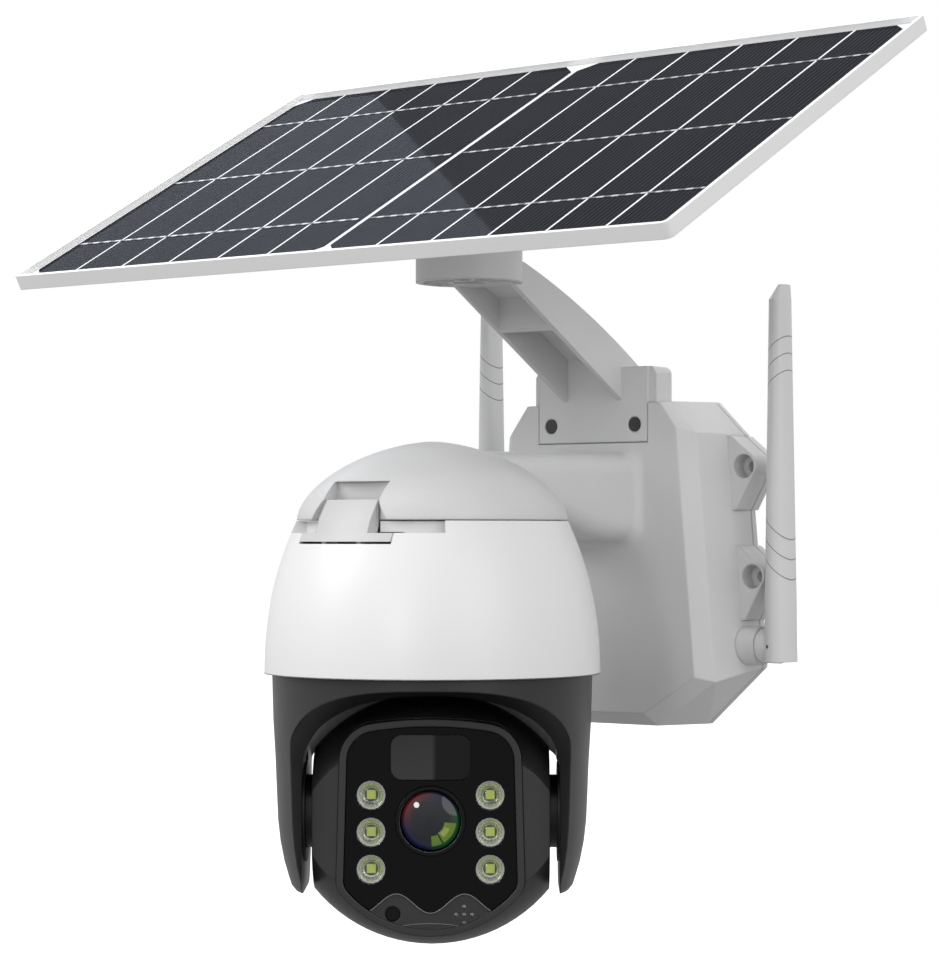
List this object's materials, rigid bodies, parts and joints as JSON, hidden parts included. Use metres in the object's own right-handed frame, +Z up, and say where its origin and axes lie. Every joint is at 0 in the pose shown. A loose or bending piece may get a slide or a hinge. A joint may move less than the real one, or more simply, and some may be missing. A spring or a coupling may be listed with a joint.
{
  "type": "solar security camera",
  "caption": "Wall-mounted pan and tilt camera under a tilting solar panel, with a battery box behind it and an antenna on each side.",
  "frame": {"origin": "on the wall plane, midway between the upper and the lower pair of wall screws", "axes": "+X to the right of a person facing the wall, +Y into the wall, +Z up"},
  "size_m": [0.322, 0.2149, 0.3552],
  "materials": {
    "grey": "satin, fine moulded texture",
    "white": "satin white",
    "black": "satin black",
    "gloss": "gloss black",
    "rubber": "matt",
    "steel": "plated",
    "gear": "natural acetal",
    "board": "solder mask",
    "cell_wrap": "shrink sleeve",
    "cell": "silicon under clear film",
    "ribbon": "tinned",
    "sheet": "white laminate",
    "panel_glass": "clear",
    "face_glass": "gloss black",
    "pir": "dark smoked",
    "lens": "coated",
    "lamp_lens": "clear",
    "led": "phosphor"
  },
  "bodies": {
    "housing": {"front_housing": "grey", "rear_cover": "grey", "box_gasket": "rubber", "box_screws": "steel", "battery_tray": "black", "battery_cells": "cell_wrap", "charge_board": "board", "bracket_arm": "grey", "bracket_screws": "steel", "antenna_bases": "grey", "antenna_nuts": "steel", "dome_shell": "white", "chassis": "black", "chassis_screws": "steel", "pan_motor": "steel", "pan_bearing": "steel", "main_board": "board", "latch_pin": "steel", "antenna_contacts": "steel"},
    "latch": {"front_latch": "white"},
    "pan_drive": {"pan_pinion": "gear"},
    "fork": {"yoke": "black", "pan_gear": "gear", "pan_retainer": "steel", "tilt_axles": "steel", "arm_covers": "black", "tilt_gear": "gear"},
    "head": {"tilt_motor": "steel", "head_front_shell": "black", "head_rear_shell": "black", "tilt_hubs": "black", "face_bezel": "black", "face_glass": "face_glass", "pir_window": "pir", "pir_sensor": "steel", "lens_ring": "gloss", "lens_barrel": "gloss", "lens_glass": "lens", "image_board": "board", "led_board": "board", "led_chips": "led", "led_lenses": "lamp_lens", "light_sensor": "gloss", "microphone": "steel", "head_screws": "steel"},
    "tilt_drive": {"tilt_pinion": "gear"},
    "turntable": {"panel_swivel": "grey", "swivel_screw": "steel", "tilt_bolt": "steel", "tilt_knob": "black"},
    "panel": {"panel_bracket": "grey", "bracket_rivets": "steel", "panel_frame": "white", "backsheet": "sheet", "solar_cells": "cell", "ribbons": "ribbon", "panel_glass": "panel_glass", "junction_box": "black"},
    "left_antenna": {"antenna_left": "grey"},
    "right_antenna": {"antenna_right": "grey"}
  },
  "joints": [
    {"name": "camera_pan", "type": "hinge", "parent": "housing", "child": "fork", "pos_m": [0, -0.1435, -0.06], "axis": [0, 0, 1], "range_deg": [-216, 139]},
    {"name": "pan_pinion_spin", "type": "hinge", "parent": "housing", "child": "pan_drive", "pos_m": [-0.03144, -0.12535, -0.047], "axis": [0, 0, 1], "range_deg": [-720, 1110]},
    {"name": "camera_tilt", "type": "hinge", "parent": "fork", "child": "head", "pos_m": [0, -0.1435, -0.112], "axis": [0.7826, 0.6225, 0], "range_deg": [-15, 90]},
    {"name": "tilt_pinion_spin", "type": "hinge", "parent": "head", "child": "tilt_drive", "pos_m": [0.02504, -0.12358, -0.1363], "axis": [0.7826, 0.6225, 0], "range_deg": [-60, 300]},
    {"name": "latch_swing", "type": "hinge", "parent": "housing", "child": "latch", "pos_m": [0, -0.1953, -0.0067], "axis": [1, 0, 0], "range_deg": [0, 10]},
    {"name": "panel_turn", "type": "hinge", "parent": "housing", "child": "turntable", "pos_m": [0, -0.121, 0.106], "axis": [0, 0, 1], "range_deg": [-60, 60]},
    {"name": "panel_tilt", "type": "hinge", "parent": "turntable", "child": "panel", "pos_m": [0, -0.121, 0.124], "axis": [1, 0, 0], "range_deg": [-28.8, 31.2]},
    {"name": "left_antenna_swing", "type": "hinge", "parent": "housing", "child": "left_antenna", "pos_m": [-0.075, -0.0132, -0.0507], "axis": [1, 0, 0], "range_deg": [0, 180]},
    {"name": "right_antenna_swing", "type": "hinge", "parent": "housing", "child": "right_antenna", "pos_m": [0.075, -0.0132, -0.0507], "axis": [1, 0, 0], "range_deg": [0, 180]}
  ],
  "couplings": [
    {"joint": "pan_pinion_spin", "follows": "camera_pan", "ratio": -5},
    {"joint": "tilt_pinion_spin", "follows": "camera_tilt", "ratio": 3}
  ]
}
